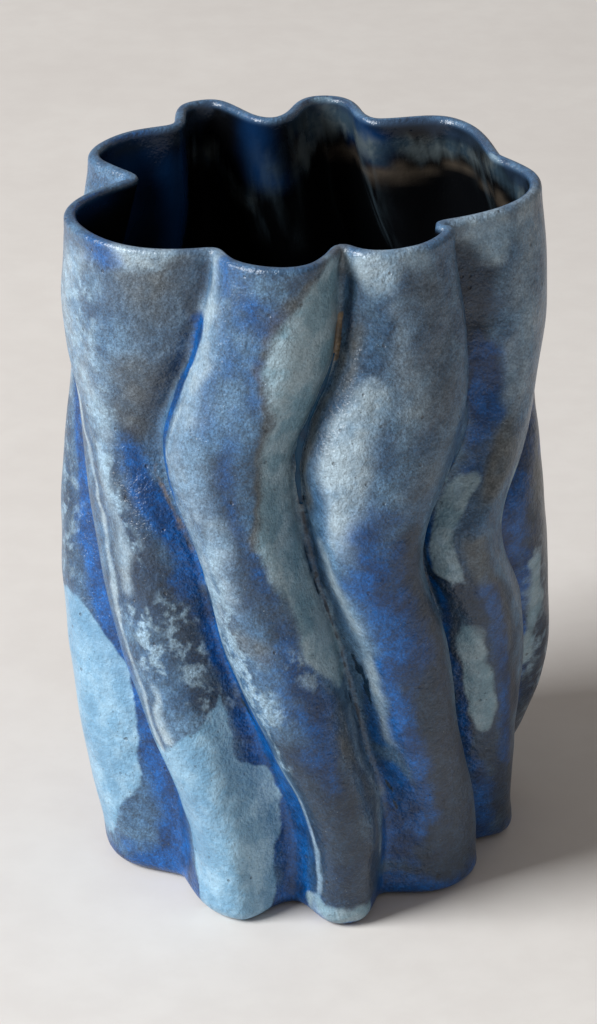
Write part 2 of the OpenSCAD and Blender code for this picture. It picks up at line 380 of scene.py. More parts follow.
inner_wall = np.linspace(HEIGHT - LIP_RADIUS, FLOOR + 4, INNER_ROWS)[1:]
inner_z = np.concatenate([lip_z[::-1], inner_wall, [FLOOR, FLOOR / 2, 0]])
inner_in = FOOT_THICKNESS - (FOOT_THICKNESS - WALL_THICKNESS) * ease(FLOOR, FLOOR + FOOT_TAPER, inner_z)
inner_in -= (WALL_THICKNESS - LIP_THICKNESS) * ease(HEIGHT - LIP_TAPER, HEIGHT - LIP_RADIUS, inner_z)
inner_in[: len(lip_z)] -= lip_in[::-1]

outer, outer_inward = ring(outer_z)
outer = outer + outer_in[:, None, None] * outer_inward
inner_level = np.maximum(inner_z - FLOOR * (1 - ease(FLOOR, 6 * FLOOR, inner_z)), 0)
inner, inner_inward = ring(inner_level)
for _ in range(8):
    inner_inward = (np.roll(inner_inward, 1, 1) + 2 * inner_inward + np.roll(inner_inward, -1, 1)) / 4
inner_inward /= np.linalg.norm(inner_inward, axis=-1, keepdims=True)
inner = inner + inner_in[:, None, None] * inner_inward

level = np.concatenate([outer_z, inner_z])
skin = np.concatenate([outer, inner])
skin = np.concatenate([skin, np.broadcast_to(level[:, None, None], skin.shape[:2] + (1,))], -1)
past_lip = np.concatenate([outer_z - HEIGHT, HEIGHT - inner_z])
over = np.roll(skin, -1, 0) - np.roll(skin, 1, 0)
across = np.roll(skin, -1, 1) - np.roll(skin, 1, 1)
facing = np.cross(across, over)
facing /= np.linalg.norm(facing, axis=-1, keepdims=True)

# The dipped and brushed layers of glaze, with painted highlight and painted shade among them, each as how
# thick it lies at every place on the wall
u, z = np.broadcast_arrays(place_round[None, :], level[:, None])
outside = np.broadcast_to(past_lip[:, None] <= 0.01, u.shape)
LAYERS = ("cobalt", "slate_and_shade", "grey", "haze_and_highlight", "celadon", "pale", "fleck", "gloss", "crack", "clay")
coats = {name: np.zeros(u.shape) for name in LAYERS}
PATCH_FADE = 16.0  # mm over which a dipped patch goes from bare to full


def wander(size, seed):
    """A slow random drift from -1 to 1 over the wall, with swells about size mm across."""
    rng = np.random.default_rng(seed)
    wide, tall = round(8 * LOBE_WIDTH / size), int(HEIGHT / size) + 3
    knots = rng.uniform(-1, 1, (tall, wide))
    x, y = u * wide / 8, z / size
    i, j = np.floor(x).astype(int), np.floor(y).astype(int)
    f, g = x - i, y - j
    f, g = f * f * (3 - 2 * f), g * g * (3 - 2 * g)
    low = knots[j, i % wide] * (1 - f) + knots[j, (i + 1) % wide] * f
    high = knots[j + 1, i % wide] * (1 - f) + knots[j + 1, (i + 1) % wide] * f
    return low * (1 - g) + high * g


loose_u = u + (2.6 * wander(22, 1) + 1.5 * wander(9, 2) + 0.9 * wander(4, 3)) / LOBE_WIDTH
loose_z = z + 5.0 * wander(26, 4) + 2.2 * wander(10, 5) + 1.2 * wander(4, 6)
close_u = u + (1.0 * wander(12, 7) + 0.7 * wander(4, 8) + 0.4 * wander(2, 9)) / LOBE_WIDTH
close_z = z + 1.6 * wander(13, 10) + 0.9 * wander(4, 11) + 0.5 * wander(2, 12)
patchy = 0.5 * wander(14, 13) + 0.3 * wander(6, 14)


def brush(layer, path, width, amount=1.0, inside=False, firm=False):
    """A soft stroke of glaze along a path of (place round, height) points; a firm one hardly wanders."""
    across, upward = (close_u, close_z) if firm else (loose_u, loose_z)
    d = path_distance(across, upward, path) / (width / 2)
    cover = amount * np.exp(-((d * (1 - 0.3 * patchy)) ** 2) * 0.7) * (1 + 0.35 * patchy)
    coats[layer] = np.where(outside != inside, np.maximum(coats[layer], cover), coats[layer])


def dip(layer, outline):
    """A patch on the outside with a clear edge, as an outline of (place round, height) points."""
    start = outline[0][0]
    x = ((close_u - start + 4) % 8 - 4) * LOBE_WIDTH
    corners = [((p[0] - start) * LOBE_WIDTH, p[1]) for p in outline]
    within = np.zeros(u.shape, bool)
    for (ax, az), (bx, bz) in zip(corners, corners[1:] + corners[:1]):
        crosses = (az > close_z) != (bz > close_z)
        within ^= crosses & (x < ax + (bx - ax) * (close_z - az) / (bz - az + 1e-9))
    edge = path_distance(close_u, close_z, list(outline) + [outline[0]])
    cover = np.clip(0.5 + np.where(within, edge, -edge) / PATCH_FADE, 0, 1)
    coats[layer] = np.where(outside, np.maximum(coats[layer], cover), coats[layer])


# Sky blue where the light glaze was poured on thickly
dip(
    "pale",
    [
        (0.4, 92), (0.6, 94), (0.75, 95), (0.83, 90), (0.9, 82), (0.97, 76), (0.93, 66), (0.88, 53),
        (0.85, 42), (0.8, 31), (0.66, 20), (0.6, 12), (0.4, 10),
    ],
)
dip(
    "pale",
    [
        (1.08, 60), (1.45, 62), (1.6, 68), (1.76, 75), (1.9, 79), (1.87, 72), (1.84, 64), (1.85, 57),
        (1.97, 54), (1.98, 44), (1.94, 33), (1.88, 24), (1.87, 10), (1.8, 0), (1.3, 1), (1.24, 14),
        (1.22, 32), (1.1, 48),
    ],
)
# Thin light haze on the flanks and ridges, where the pale glaze ran off; on the left-facing flanks it is
# partly painted highlight
for path, width, amount in (
    ([(0.62, 215), (0.66, 190), (0.7, 165)], 12, 0.75),
    ([(1.52, 216), (1.56, 190), (1.62, 168)], 13, 0.58),
    ([(1.55, 158), (1.52, 140), (1.5, 116)], 6, 0.6),
    ([(1.72, 228), (1.82, 228)], 6, 1.0),
    ([(2.04, 228), (2.12, 222)], 6, 0.75),
    ([(2.14, 216), (2.18, 200), (2.22, 184)], 12, 0.8),
    ([(2.3, 182), (2.32, 166), (2.4, 150)], 14, 0.55),
    ([(2.28, 150), (2.3, 130), (2.26, 112)], 9, 0.6),
    ([(2.46, 146), (2.44, 120)], 12, 0.6),
    ([(1.5, 84), (1.48, 66)], 4, 0.9),
    ([(3.08, 228), (3.22, 222), (3.3, 226)], 9, 1.1),
    ([(3.27, 192), (3.27, 180), (3.28, 160), (3.3, 140)], 10, 0.95),
    ([(3.18, 136), (3.2, 120), (3.2, 100), (3.22, 84), (3.25, 70)], 8, 0.8),
    ([(1.43, 200), (1.41, 140), (1.38, 90), (1.4, 60)], 2.6, 0.8),
    ([(2.24, 176), (2.22, 140), (2.2, 110), (2.12, 72)], 3.5, 0.7),
    ([(3.42, 200), (3.45, 180)], 14, 0.5),
    ([(4.3, 214), (4.36, 176)], 16, 0.5),
    ([(3.36, 216), (3.4, 206)], 8, 0.5),
    ([(4.06, 229), (4.14, 222)], 8, 1.0),
    ([(4.3, 226), (4.34, 190)], 13, 0.62),
    ([(4.24, 190), (4.26, 176)], 10, 0.6),
    ([(2.95, 75), (2.92, 50), (2.86, 24)], 6, 0.5),
    # Painted highlight along the lip of the front lobes
    ([(3.06, 229), (3.3, 229), (3.5, 229)], 7, 0.9),
    ([(2.02, 229), (2.2, 229)], 6, 0.8),
    ([(4.08, 229), (4.4, 229)], 5, 0.6),
):
    brush("haze_and_highlight", path, width, amount)
brush("haze_and_highlight", [(2.2, 62), (2.22, 36), (2.26, 12)], 3.5, 1.0, firm=True)
# Grey-green where the dip of celadon stopped, and a few smaller splashes of it
celadon_edge = [
    (2.84, 229), (2.68, 221), (2.57, 213), (2.54, 200), (2.61, 190), (2.67, 181), (2.72, 171), (2.745, 160),
    (2.71, 150), (2.64, 140), (2.66, 129), (2.7, 120), (2.69, 110), (2.67, 101),
]
dip("celadon", [*celadon_edge, (2.76, 94), (2.9, 88), (2.99, 90), (2.99, 222), (2.93, 227)])
for path, width, amount in (
    ([(2.2, 6), (2.5, 8), (2.66, 6)], 9, 0.62),
    ([(4.66, 148), (4.8, 134)], 12, 0.7),
    ([(4.2, 94), (4.22, 66)], 15, 0.72),
    ([(4.14, 148), (4.2, 124)], 15, 0.72),
    ([(5.12, 104), (5.1, 70)], 12, 0.6),
):
    brush("celadon", path, width, amount)
brush("celadon", [(3.86, 156), (3.96, 150)], 6, 0.95, firm=True)
# Cobalt runs down into the folds and lies along the foot
for path, width, amount in (
    ([(0.9, 196), (0.92, 160), (0.94, 110), (0.98, 70)], 14, 1.1),
    ([(1.04, 112), (1.12, 90), (1.1, 70)], 20, 1.15),
    ([(1.0, 62), (1.04, 40), (1.06, 6)], 18, 1.15),
    ([(0.75, 8), (0.95, 12)], 16, 0.95),
    ([(1.82, 156), (1.88, 140), (1.93, 120)], 15, 0.85),
    ([(0.86, 190), (0.9, 176)], 12, 0.9),
    ([(2.0, 108), (2.03, 90), (2.02, 76), (2.02, 66)], 11, 1.2),
    ([(1.98, 80), (1.96, 68)], 11, 1.1),
    ([(2.06, 60), (2.08, 44)], 8, 1.1),
    ([(2.04, 34), (2.06, 4)], 18, 1.15),
    ([(2.2, 224), (2.4, 219), (2.5, 212)], 13, 0.5),
    ([(2.36, 206), (2.4, 196), (2.42, 180)], 12, 0.36),
    ([(1.55, 229), (1.66, 225)], 7, 0.55),
    ([(2.5, 200), (2.58, 175), (2.6, 140), (2.62, 112)], 8, 0.45),
    ([(2.64, 100), (2.64, 84), (2.6, 66)], 18, 0.72),
    ([(2.04, 66), (1.96, 50), (1.98, 30)], 14, 1.1),
    ([(3.42, 150), (3.44, 140)], 14, 0.4),
    ([(3.42, 142), (3.46, 124), (3.46, 100)], 17, 0.74),
    ([(3.36, 96), (3.34, 80), (3.34, 60), (3.3, 44)], 13, 0.74),
    ([(3.08, 50), (3.1, 34), (3.06, 22)], 13, 1.2),
    ([(3.1, 84), (3.12, 64)], 7, 0.6),
    ([(4.1, 190), (4.12, 172)], 12, 1.1),
    ([(4.1, 168), (4.14, 152)], 13, 0.62),
    ([(4.04, 116), (4.08, 60), (4.1, 44)], 5, 0.8),
    ([(4.14, 46), (4.16, 20), (4.1, 6)], 11, 0.8),
    ([(4.42, 112), (4.42, 80), (4.4, 40)], 9, 0.62),
    ([(5.06, 150), (5.08, 122)], 14, 0.7),
    ([(5.0, 60), (5.0, 4)], 12, 0.9),
):
    brush("cobalt", path, width, amount)
for lobe in (0, 4):
    brush("cobalt", [(lobe + step / 2, 3) for step in range(9)], 11)
for path, width, amount in (
    ([(2.03, 206), (2.06, 196), (2.07, 186), (2.14, 172), (2.2, 160), (2.18, 150), (2.14, 140)], 5.5, 1.15),
    ([(3.96, 158), (3.98, 150), (3.93, 146)], 2.6, 1.0),
    ([(4.05, 138), (4.07, 122)], 2.6, 1.2),
):
    brush("cobalt", path, width, amount, firm=True)
# Slate where both glazes are thin; in the tops of the two sharpest folds it is partly painted shade over
# glaze that pooled there
for path, width, amount in (
    ([(0.6, 150), (0.68, 120), (0.68, 106)], 18, 0.5),
    ([(1.6, 150), (1.7, 130)], 16, 0.6),
    ([(1.62, 124), (1.78, 114), (1.95, 110)], 22, 1.2),
    ([(1.84, 104), (1.84, 86)], 18, 0.9),
    ([(1.98, 190), (1.9, 176), (1.8, 168)], 16, 0.75),
    ([(2.58, 170), (2.56, 140), (2.6, 110)], 12, 0.7),
    ([(2.5, 70), (2.4, 50)], 20, 0.7),
    ([(2.36, 34), (2.5, 24), (2.6, 14)], 26, 1.25),
    ([(2.78, 84), (2.8, 66)], 10, 0.7),
    ([(2.9, 116), (2.94, 96)], 8, 0.6),
    ([(3.44, 90), (3.5, 76)], 12, 0.8),
    ([(3.46, 66), (3.5, 40), (3.46, 20)], 14, 1.1),
    ([(3.2, 24), (3.4, 18)], 12, 0.8),
    # This stroke and the next: partly painted shade beside the front crease and at the top of the fold that
    # curls over at the lip
    ([(3.03, 226), (3.04, 212), (3.05, 200)], 4.5, 0.9),
    ([(4.04, 222), (4.06, 200), (4.05, 190)], 9, 1.1),
    ([(4.14, 114), (4.3, 108)], 22, 1.0),
    ([(4.1, 110), (4.1, 60)], 8, 1.0),
    ([(4.3, 48), (4.4, 20)], 24, 1.0),
    ([(4.45, 110), (4.5, 60)], 16, 0.9),
    ([(5.16, 180), (5.14, 120), (5.1, 60), (5.1, 10)], 34, 1.2),
    ([(5.5, 180), (5.5, 120), (5.4, 60)], 34, 1.2),
    ([(4.24, 112), (4.26, 80), (4.28, 50)], 16, 0.8),
    ([(5.02, 110), (5.04, 60)], 8, 0.8),
    ([(3.6, 140), (3.62, 110), (3.6, 80)], 12, 1.1),
    ([(3.52, 84), (3.46, 50), (3.4, 14)], 26, 1.3),
    ([(2.46, 62), (2.44, 40), (2.4, 18)], 26, 1.2),
    ([(2.02, 222), (2.0, 206)], 4, 0.8),
    # Partly painted shade down the top of the fold that curls over at the lip
    ([(4.02, 216), (4.03, 196), (4.02, 176)], 7, 1.2),
):
    brush("slate_and_shade", path, width, amount)
# Warm grey where the glaze broke thin over the iron in the clay
for path, width, amount in (
    ([(3.05, 196), (3.08, 180), (3.08, 150)], 7, 0.8),
    ([(1.84, 224), (1.86, 200), (1.86, 176)], 20, 0.62),
    ([(3.5, 222), (3.56, 200), (3.6, 176), (3.6, 160)], 17, 0.5),
    ([(3.12, 206), (3.14, 190)], 8, 0.8),
    ([(4.3, 160), (4.42, 150)], 14, 0.9),
    ([(4.42, 130), (4.46, 90)], 8, 0.8),
    ([(0.86, 190), (0.98, 174)], 6, 0.8),
    ([(2.78, 78), (2.84, 50), (2.78, 30)], 11, 0.8),
    ([(2.4, 108), (2.5, 104)], 9, 0.7),
):
    brush("grey", path, width, amount)
# A thin iron line along the edge of the celadon
for path, width, amount in (
    ([(3.02, 226), *celadon_edge[:3]], 6, 1.2),
    (celadon_edge[2:10], 3.5, 1.3),
):
    brush("grey", path, width, amount, firm=True)
# Warm clay where the glaze drew back from the bottom of a fold
brush("clay", [(1.96, 160), (1.98, 146), (1.99, 128)], 4, 0.5)
brush("clay", [(3.0, 210), (3.01, 204), (3.0, 197)], 2.4, 1.0, firm=True)
# Small pale flecks where the two dips broke over each other
for path, width, amount in (
    ([(1.55, 212), (1.58, 186), (1.6, 172)], 15, 0.8),
    ([(1.56, 156), (1.56, 130)], 9, 0.7),
    ([(0.62, 150), (0.66, 118), (0.6, 100)], 22, 0.55),
    ([(1.82, 104), (1.82, 86)], 15, 1.0),
    ([(1.56, 104), (1.56, 90)], 12, 1.0),
    ([(2.24, 112), (2.3, 96), (2.34, 84)], 18, 1.15),
    ([(2.3, 74), (2.28, 62)], 9, 1.0),
    ([(2.64, 100), (2.7, 94)], 8, 1.0),
    ([(2.4, 130), (2.4, 116)], 12, 0.7),
    ([(5.12, 110), (5.15, 62)], 14, 0.6),
    ([(4.14, 146), (4.2, 122)], 12, 0.7),
    ([(3.0, 120), (3.0, 104)], 6, 0.5),
):
    brush("fleck", path, width, amount)
# Gloss where the glaze ran thick
for path, width, amount in (
    ([(3.02, 200), (3.0, 180), (3.02, 150)], 5, 1.0),
    ([(4.0, 202), (4.03, 192)], 6, 1.0),
    ([(4.05, 136), (4.06, 118)], 6, 0.9),
):
    brush("gloss", path, width, amount)
# Hairlines down the two sharpest folds, where the slabs were joined
for path, width, amount in (
    ([(3.0, 152), (3.0, 120), (3.0, 70)], 0.8, 0.8),
    ([(3.99, 168), (4.0, 150), (4.0, 110)], 0.8, 0.7),
):
    brush("crack", path, width, amount, firm=True)
# Fine dark cracks at the bottom of the folds
for path in (
    [(0.98, 112), (1.01, 104)],
    [(2.0, 78), (2.03, 72)],
    [(2.05, 77), (2.06, 71)],
    [(3.06, 96), (3.08, 90)],
    [(3.1, 92), (3.12, 84)],
    [(3.14, 88), (3.12, 81)],
    [(3.05, 48), (3.08, 44)],
    [(3.07, 40), (3.08, 37)],
):
    d = path_distance(close_u, close_z, path)
    coats["crack"] = np.maximum(coats["crack"], np.where(outside, np.clip(1 - d / 1.5, 0, 1), 0))
# The back: strokes of every layer at random heights on each lobe, then three pours of sky blue
rng = np.random.default_rng(21)
for lobe in (5.45, 5.9, 6.5, 6.95, 7.5, 7.95):
    for layer, size in (("slate_and_shade", 28), ("grey", 20), ("haze_and_highlight", 16), ("cobalt", 15), ("fleck", 20)):
        low = rng.uniform(10, 150)
        lean = rng.uniform(-0.12, 0.12)
        path = [(lobe + lean, low), (lobe - lean, low + rng.uniform(30, 70))]
        brush(layer, path, size, rng.uniform(0.8, 1.1))
# Outline of a pour round its middle, stretched from its own height to the one it has on each lobe
pour = [
    (-0.1, -8), (0.1, -6), (0.2, 10), (0.22, 30), (0.12, 44), (0.02, 62), (-0.1, 54), (-0.2, 34), (-0.17, 8),
]
POUR_HEIGHT = 62.0
for lobe, low, high in ((5.62, 20, 74), (6.5, 96, 124), (7.45, 12, 56)):
    lean = rng.uniform(-0.06, 0.06)
    dip("pale", [(lobe + x + lean * y / 60, low + y * (high - low) / POUR_HEIGHT) for x, y in pour])
for fold in (5, 6, 7, 8):
    brush("cobalt", [(fold, 4), (fold, 90), (fold, 160)], 12, 1.0)
# Inside, under the lip, the lining glaze is thin: grey-green and sandy at the back, mostly blue elsewhere
for layer, path, width, amount in (
    ("celadon", [(4.7, 223), (5.5, 222), (6.0, 219)], 9, 0.75),
    ("celadon", [(6.0, 219), (6.5, 224), (6.85, 220)], 10, 1.0),
    ("celadon", [(7.1, 200), (7.3, 212), (7.6, 218)], 9, 0.55),
    ("clay", [(4.8, 213), (5.5, 214), (6.1, 210), (6.6, 215)], 3, 0.25),
    ("haze_and_highlight", [(7.0, 216), (7.04, 190)], 8, 0.4),
    ("haze_and_highlight", [(6.1, 212), (6.12, 190)], 10, 0.4),
    ("haze_and_highlight", [(5.2, 216), (5.1, 196)], 14, 0.5),
    ("cobalt", [(0.3, 226), (0.4, 212), (0.5, 206)], 26, 0.9),
    ("cobalt", [(7.1, 226), (7.04, 214)], 8, 0.5),
    ("cobalt", [(1.2, 226), (1.5, 226), (1.9, 226)], 8, 0.9),
    ("cobalt", [(8.0, 218), (7.9, 190)], 12, 0.9),
    ("cobalt", [(6.0, 222), (6.3, 222)], 9, 0.9),
    ("slate_and_shade", [(4.6, 229), (5.5, 229), (6.5, 229), (7.5, 229), (8.4, 229)], 4, 0.9),
):
    brush(layer, path, width, amount, inside=True)

# Broken edge: turns how thick a layer lies into where it shows, with a ragged margin
ragged, ends_in, ends_out = new_group(
    "broken edge",
    [
        ("Layer", "NodeSocketFloat", 0.0),
        ("Place", "NodeSocketVector", None),
        ("Scale", "NodeSocketFloat", 160.0),
        ("Ragged", "NodeSocketFloat", 0.2),
        ("Softness", "NodeSocketFloat", 0.08),
    ],
    [("Mask", "NodeSocketFloat")],
)
drift = cloud(ragged, ends_in.outputs["Place"], ends_in.outputs["Scale"], 4.0, 0.6)
push = times(ragged, maths(ragged, "SUBTRACT", drift, 0.5), ends_in.outputs["Ragged"])
field = maths(ragged, "ADD", ends_in.outputs["Layer"], push)
low = maths(ragged, "SUBTRACT", 0.5, ends_in.outputs["Softness"])
high = maths(ragged, "ADD", 0.5, ends_in.outputs["Softness"])
ragged.links.new(spread(ragged, field, low, high), ends_out.inputs["Mask"])

# Fired skin: the fine orange peel, the slow ripple and the pinholes of a satin glaze
peel, ends_in, ends_out = new_group(
    "fired skin",
    [("Place", "NodeSocketVector", None), ("Pinholes", "NodeSocketFloat", 0.5)],
    [("Height", "NodeSocketFloat"), ("Grain", "NodeSocketFloat"), ("Pinhole", "NodeSocketFloat")],
)
fine = cloud(peel, ends_in.outputs["Place"], 900.0, 2.0, 0.6)
middle = cloud(peel, ends_in.outputs["Place"], 400.0, 2.0, 0.5)
slow = cloud(peel, ends_in.outputs["Place"], 90.0, 1.0, 0.5)
holes = put(peel, "ShaderNodeTexVoronoi", {"Vector": ends_in.outputs["Place"], "Scale": 210.0})
few = spread(peel, cloud(peel, ends_in.outputs["Place"], 140.0, 1.0), 0.5, 0.62)
hole = times(peel, spread(peel, holes.outputs["Distance"], 0.16, 0.06), few)
hole = times(peel, hole, ends_in.outputs["Pinholes"])
height = maths(peel, "ADD", times(peel, fine, 0.5), times(peel, middle, 0.7))
height = maths(peel, "ADD", height, times(peel, slow, 1.2))
height = maths(peel, "SUBTRACT", height, times(peel, hole, 0.6))
peel.links.new(height, ends_out.inputs["Height"])
peel.links.new(fine, ends_out.inputs["Grain"])
peel.links.new(hole, ends_out.inputs["Pinhole"])

wall_glaze, tree, shader, place = new_material("layered blue glaze over stoneware")


def between(tree, share, a, b):
    """A plain value that goes from a to b as the share goes from 0 to 1."""
    return put(tree, "ShaderNodeMix", {0: share, 2: a, 3: b}, data_type="FLOAT").outputs[0]


def coat(name):
    """How thick a layer lies."""
    return put(tree, "ShaderNodeAttribute", attribute_name=name).outputs["Fac"]


def edge(name, scale, rag, soft):
    """Where a layer shows, from how thick it lies and a noise of the scale along its margin."""
    inputs = {"Layer": coat(name), "Place": place, "Scale": scale, "Ragged": rag, "Softness": soft}
    return use(tree, ragged, inputs)["Mask"]


skin_of = use(tree, peel, {"Place": place, "Pinholes": 0.7})
broad = cloud(tree, place, 26.0, 3.0, 0.55)
medium = cloud(tree, place, 95.0, 4.0, 0.62)
grain = cloud(tree, place, 1400.0, 2.0, 0.65)


def two_tone(one, other, low=0.36, high=0.62):
    """A glaze that drifts from one colour to the other in swells of about a centimetre."""
    return blend(tree, spread(tree, medium, low, high), shade(*one), shade(*other))


colour = blend(tree, spread(tree, broad, 0.36, 0.64), shade(68, 98, 128), shade(56, 82, 110))
colour = blend(tree, spread(tree, medium, 0.42, 0.68, 0.0, 0.7), colour, shade(94, 124, 150))
masks = {}
# Each layer over those before it: scale, raggedness and softness of its edge, and its drift of colour
for name, margin, tones in (
    ("slate_and_shade", (75.0, 0.7, 0.38), two_tone((28, 48, 72), (40, 58, 78))),
    ("grey", (75.0, 0.6, 0.4), two_tone((74, 88, 100), (84, 90, 94))),
    ("haze_and_highlight", (85.0, 0.6, 0.42), two_tone((152, 170, 182), (120, 144, 164))),
    ("cobalt", (75.0, 0.5, 0.32), two_tone((28, 84, 148), (18, 54, 98), 0.36, 0.64)),
    ("celadon", (90.0, 0.2, 0.1), two_tone((144, 166, 178), (112, 142, 158), 0.38)),
):
    masks[name] = edge(name, *margin)
    colour = blend(tree, masks[name], colour, tones)
sky = two_tone((150, 184, 206), (116, 156, 184))
sky = blend(tree, spread(tree, broad, 0.42, 0.66, 0.0, 0.5), sky, shade(94, 134, 166))
masks["pale"] = edge("pale", 120.0, 0.22, 0.05)
colour = blend(tree, masks["pale"], colour, sky)
spots = times(tree, coat("fleck"), spread(tree, cloud(tree, place, 200.0, 3.0, 0.55), 0.38, 0.68))
colour = blend(tree, spread(tree, spots, 0.06, 0.8, 0.0, 0.7), colour, shade(146, 172, 190))
# Mottle and grain lighten and darken the glaze, least where a light one lies thick and smooth
mottle = spread(tree, cloud(tree, place, 300.0, 4.0, 0.65), 0.34, 0.66, 0.78, 1.28)
uneven = times(tree, mottle, spread(tree, grain, 0.34, 0.66, 0.72, 1.28))
plain = 0.0
for name, calm in (("pale", 0.75), ("haze_and_highlight", 0.45), ("celadon", 0.6)):
    plain = maths(tree, "MAXIMUM", plain, times(tree, masks[name], calm))
uneven = between(tree, plain, uneven, 1.0)
vivid = {"Color": colour, "Value": uneven, "Saturation": 1.06}
colour = put(tree, "ShaderNodeHueSaturation", vivid).outputs[0]
light_specks = use(tree, specks, {"Place": place, "Size": 0.8, "Amount": 0.5})
colour = blend(tree, times(tree, light_specks["Mask"], 0.35), colour, shade(176, 192, 204))
turned = put(tree, "ShaderNodeMapping", {"Vector": place, "Location": (0.3, 0.1, 0.2)}).outputs[0]
dark_specks = use(tree, specks, {"Place": turned, "Size": 1.1, "Amount": 0.7})
colour = blend(tree, times(tree, dark_specks["Mask"], 0.5), colour, shade(44, 42, 44))
bare = two_tone((132, 114, 90), (96, 88, 80), 0.4, 0.6)
colour = blend(tree, edge("clay", 500.0, 0.5, 0.2), colour, bare)
colour = blend(tree, edge("crack", 500.0, 0.35, 0.2), colour, shade(8, 38, 60))
colour = blend(tree, times(tree, skin_of["Pinhole"], 0.7), colour, shade(44, 40, 42))

# The liner: black and glassy, thin and grey-green or blue under the lip, with pale runs
beyond = put(tree, "ShaderNodeAttribute", attribute_name="past_lip").outputs["Fac"]
round_at = put(tree, "ShaderNodeAttribute", attribute_name="place_round").outputs["Fac"]
across_runs = times(tree, round_at, 13.0)
down_runs = times(tree, beyond, 0.045)
runs_at = put(tree, "ShaderNodeCombineXYZ", {0: across_runs, 1: down_runs}).outputs[0]
runs = cloud(tree, runs_at, 1.0, 3.0, 0.5)
thin = maths(tree, "ADD", coat("celadon"), times(tree, maths(tree, "SUBTRACT", runs, 0.5), 0.9))
under_lip = two_tone((80, 90, 94), (44, 60, 72), 0.4, 0.6)
liner = blend(tree, coat("cobalt"), shade(6, 7, 9), shade(12, 52, 98))
streaked = times(tree, coat("haze_and_highlight"), spread(tree, runs, 0.4, 0.7))
liner = blend(tree, streaked, liner, shade(70, 86, 96))
liner = blend(tree, spread(tree, thin, 0.2, 1.0), liner, under_lip)
liner = blend(tree, coat("clay"), liner, shade(116, 104, 90))
liner = blend(tree, times(tree, coat("slate_and_shade"), 0.85), liner, shade(34, 48, 66))
inside_mask = spread(tree, beyond, 0.0, 2.2)
colour = blend(tree, inside_mask, colour, liner)
from_lip = maths(tree, "ABSOLUTE", maths(tree, "SUBTRACT", beyond, 0.6))
lip_mask = maths(tree, "SUBTRACT", 1.0, spread(tree, from_lip, 0.2, 2.2))
colour = blend(tree, times(tree, lip_mask, 0.4), colour, shade(62, 88, 120))
tree.links.new(colour, shader.inputs["Base Color"])
satin = spread(tree, medium, 0.3, 0.7, 0.3, 0.4)
satin = maths(tree, "SUBTRACT", satin, times(tree, coat("gloss"), 0.3))
tree.links.new(between(tree, inside_mask, satin, 0.14), shader.inputs["Roughness"])
rise = between(tree, inside_mask, 0.9, 0.2)
dent_by(tree, shader, skin_of["Height"], rise, 0.0009)
shader.inputs["Coat Weight"].default_value = 0.15
shader.inputs["Coat Roughness"].default_value = 0.25


def loft(name, rings, fields=()):
    """A smooth closed skin through rings of points in mm, with a value per point for each field."""
    rows, columns = rings.shape[:2]
    shell = bmesh.new()
    bmesh.ops.create_grid(shell, x_segments=columns - 1, y_segments=rows - 1, size=1)
    i = np.rint([(v.co.y + 1) / 2 * (rows - 1) for v in shell.verts]).astype(int)
    k = np.rint([(v.co.x + 1) / 2 * (columns - 1) for v in shell.verts]).astype(int)
    for label, values in dict(fields).items():
        layer = shell.verts.layers.float.new(label)
        for vert, value in zip(shell.verts, values[i, k]):
            vert[layer] = value
    for vert, spot in zip(shell.verts, rings[i, k] * 0.001):
        vert.co = spot
    bmesh.ops.remove_doubles(shell, verts=shell.verts, dist=2e-6)
    bmesh.ops.holes_fill(shell, edges=[e for e in shell.edges if e.is_boundary], sides=0)
    bmesh.ops.triangulate(shell, faces=[f for f in shell.faces if len(f.verts) > 4])
    bmesh.ops.recalc_face_normals(shell, faces=shell.faces)
    for face in shell.faces:
        face.smooth = True
    mesh = bpy.data.meshes.new(name)
    shell.to_mesh(mesh)
    shell.free()
    piece = bpy.data.objects.new(name, mesh)
    bpy.context.scene.collection.objects.link(piece)
    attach(piece, "root")
    return piece


starts = np.concatenate([[0], np.cumsum([2 * n for n in COLUMNS])])


def wall_slab(name, first_fold, last_fold):
    """One slab of the wall as a closed shell: outer face up, over the lip, inner face down."""
    end = starts[last_fold % 8] + (starts[-1] if last_fold > 8 else 0)
    k = np.arange(starts[first_fold], end + 1) % starts[-1]
    i = np.arange(len(level) + 1) % len(level)
    fields = {label: values[np.ix_(i, k)] for label, values in coats.items()}
    fields["past_lip"] = np.broadcast_to(past_lip[i][:, None], (len(i), len(k)))
    fields["place_round"] = np.broadcast_to(place_round[k][None, :], (len(i), len(k)))
    for axis, label in enumerate(("facing_x", "facing_y", "facing_z")):
        fields[label] = facing[np.ix_(i, k)][..., axis]
    piece = loft(name, skin[np.ix_(i, k)], fields)
    mesh = piece.data
    # The normals of the whole wall, so that no seam shows where two slabs meet
    normals = np.zeros((len(mesh.vertices), 3), np.float32)
    for axis, label in enumerate(("facing_x", "facing_y", "facing_z")):
        values = np.zeros(len(mesh.vertices), np.float32)
        mesh.attributes[label].data.foreach_get("value", values)
        normals[:, axis] = values
        mesh.attributes.remove(mesh.attributes[label])
    mesh.normals_split_custom_set_from_vertices(normals)
    mesh.materials.append(wall_glaze)
    return piece


left = wall_slab("left_wall", 1, 3)
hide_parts("wall_slab_left")


# ---------------------------------------------------------------------------------------------
# Front wall slab. The narrow slab between the two sharpest folds, luted in last, with its right
# edge curled over the neighbouring slab at the lip. Same clay and glaze.
# ---------------------------------------------------------------------------------------------
front = wall_slab("front_wall", 3, 4)
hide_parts("wall_slab_front")


# ---------------------------------------------------------------------------------------------
# Back wall slab. The widest slab, which wraps the right, the back and the rear left in five
# folds. Same clay and glaze.
# ---------------------------------------------------------------------------------------------
back = wall_slab("back_wall", 4, 9)
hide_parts("wall_slab_back")


